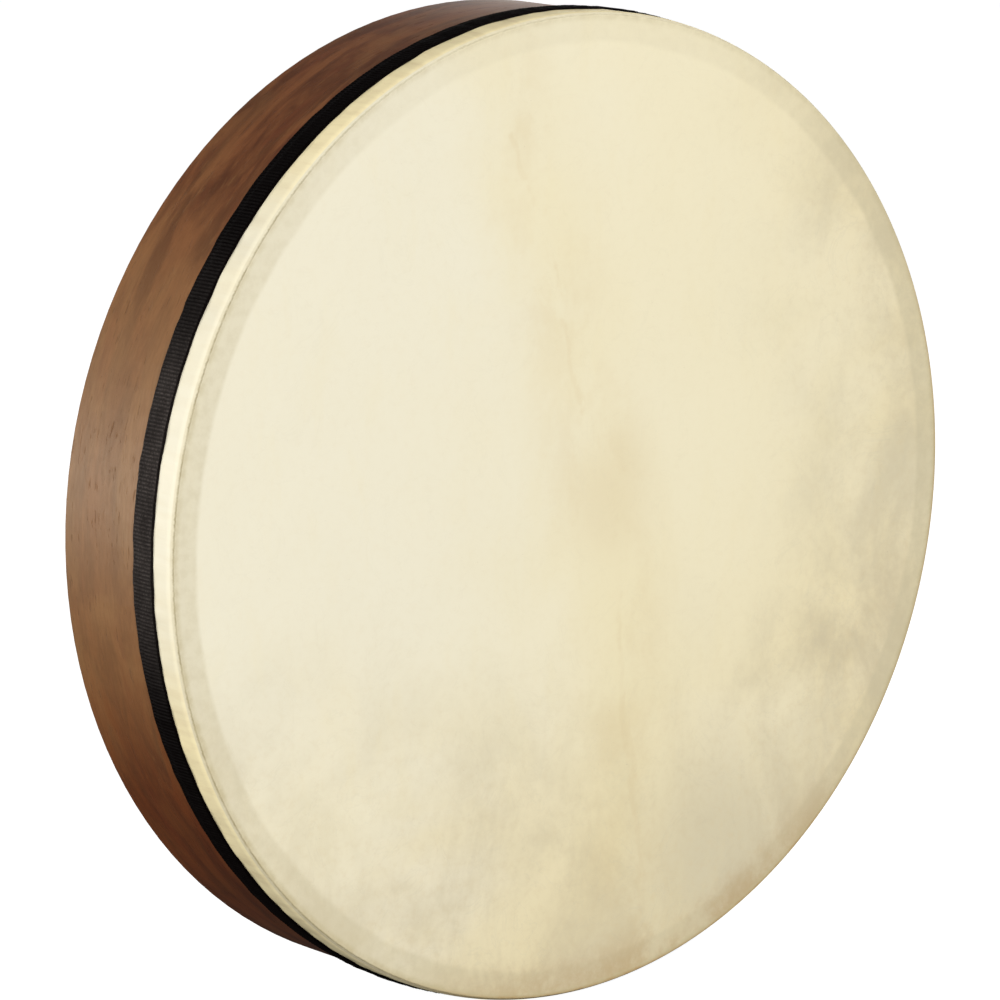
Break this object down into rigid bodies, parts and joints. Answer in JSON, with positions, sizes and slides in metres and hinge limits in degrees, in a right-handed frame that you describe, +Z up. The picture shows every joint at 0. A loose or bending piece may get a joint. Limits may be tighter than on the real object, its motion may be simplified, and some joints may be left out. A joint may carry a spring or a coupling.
{
  "type": "frame drum",
  "caption": "Shallow hand-held frame drum: bent ply shell open at the back, bearing hoop inside the front edge, glued goatskin head, black woven ribbon over the head's stapled cuff.",
  "frame": {"origin": "centre of the bounding box, on the drum's axis and half way through its depth", "axes": "+Y along the drum's axis, out of the open back; the head faces -Y; +Z is up as the drum is held or stood on its rim for playing, +X to its right seen from the head"},
  "size_m": [0.3586, 0.0636, 0.3586],
  "materials": {
    "stained_wood": "thin walnut-brown stain over open-pored face veneer, satin",
    "ply_wood": "bare veneer edges, sanded",
    "inside_wood": "stained face veneer, matt",
    "hoop_wood": "bent solid wood strip, sanded and lightly stained",
    "goatskin": "natural scraped goatskin, slightly translucent, low sheen",
    "staple_steel": "zinc-plated fine wire",
    "ribbon": "black ribbed woven ribbon, matt"
  },
  "bodies": {
    "root": {"outer_face_ply": "stained_wood", "outer_cross_ply": "ply_wood", "core_ply": "ply_wood", "inner_cross_ply": "ply_wood", "inner_face_ply": "inside_wood", "bearing_hoop": "hoop_wood", "goatskin_head": "goatskin", "head_staples": "staple_steel", "ribbon_trim": "ribbon"}
  },
  "joints": []
}
